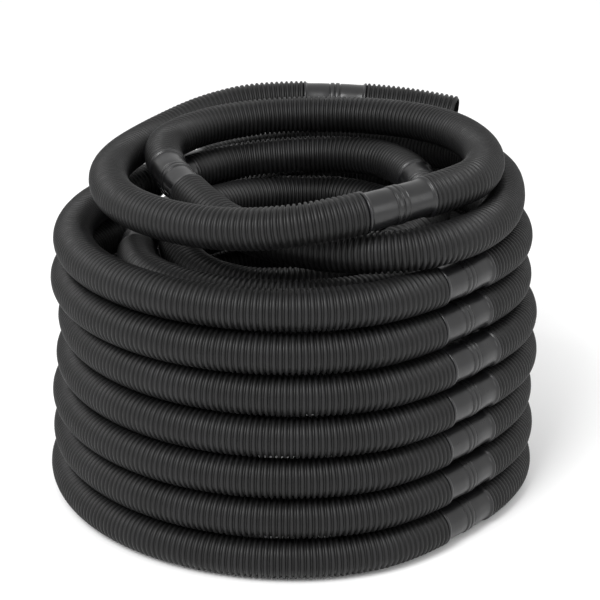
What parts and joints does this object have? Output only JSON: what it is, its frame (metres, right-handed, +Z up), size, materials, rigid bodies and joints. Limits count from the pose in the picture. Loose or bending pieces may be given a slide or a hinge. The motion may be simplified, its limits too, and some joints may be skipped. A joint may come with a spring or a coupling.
{
  "type": "pool vacuum hose",
  "caption": "Coiled corrugated pool vacuum hose in moulded sections with plain double cuffs between them, a cut end on top and an end cuff inside.",
  "frame": {"origin": "centre of the coil's footprint, on the surface it stands on", "axes": "+Z up along the coil's axis; +X to the right and -Y towards the viewer, with the wall's cuffs at front right"},
  "size_m": [0.4958, 0.4953, 0.3597],
  "materials": {
    "hose": "blow-moulded black LDPE, fine corrugation, satin",
    "cuff": "smooth moulded black LDPE/EVA, satin with a soft gloss"
  },
  "bodies": {
    "root": {"hose_section_01": "hose", "hose_section_02": "hose", "hose_section_03": "hose", "hose_section_04": "hose", "hose_section_05": "hose", "hose_section_06": "hose", "hose_section_07": "hose", "hose_section_08": "hose", "hose_section_09": "hose", "hose_section_10": "hose", "hose_section_11": "hose", "hose_section_12": "hose", "hose_section_13": "hose", "hose_section_14": "hose", "hose_section_15": "hose", "hose_section_16": "hose", "hose_section_17": "hose", "hose_section_18": "hose", "hose_section_19": "hose", "hose_section_20": "hose", "hose_section_21": "hose", "hose_section_22": "hose", "hose_section_23": "hose", "hose_section_24": "hose", "hose_section_25": "hose", "hose_section_26": "hose", "cuff_01": "cuff", "cuff_02": "cuff", "cuff_03": "cuff", "cuff_04": "cuff", "cuff_05": "cuff", "cuff_06": "cuff", "cuff_07": "cuff", "cuff_08": "cuff", "cuff_09": "cuff", "cuff_10": "cuff", "cuff_11": "cuff", "cuff_12": "cuff", "cuff_13": "cuff", "cuff_14": "cuff", "cuff_15": "cuff", "cuff_16": "cuff", "cuff_17": "cuff", "cuff_18": "cuff", "cuff_19": "cuff", "cuff_20": "cuff", "cuff_21": "cuff", "cuff_22": "cuff", "cuff_23": "cuff", "cuff_24": "cuff", "cuff_25": "cuff", "end_cuff": "cuff"}
  },
  "joints": []
}
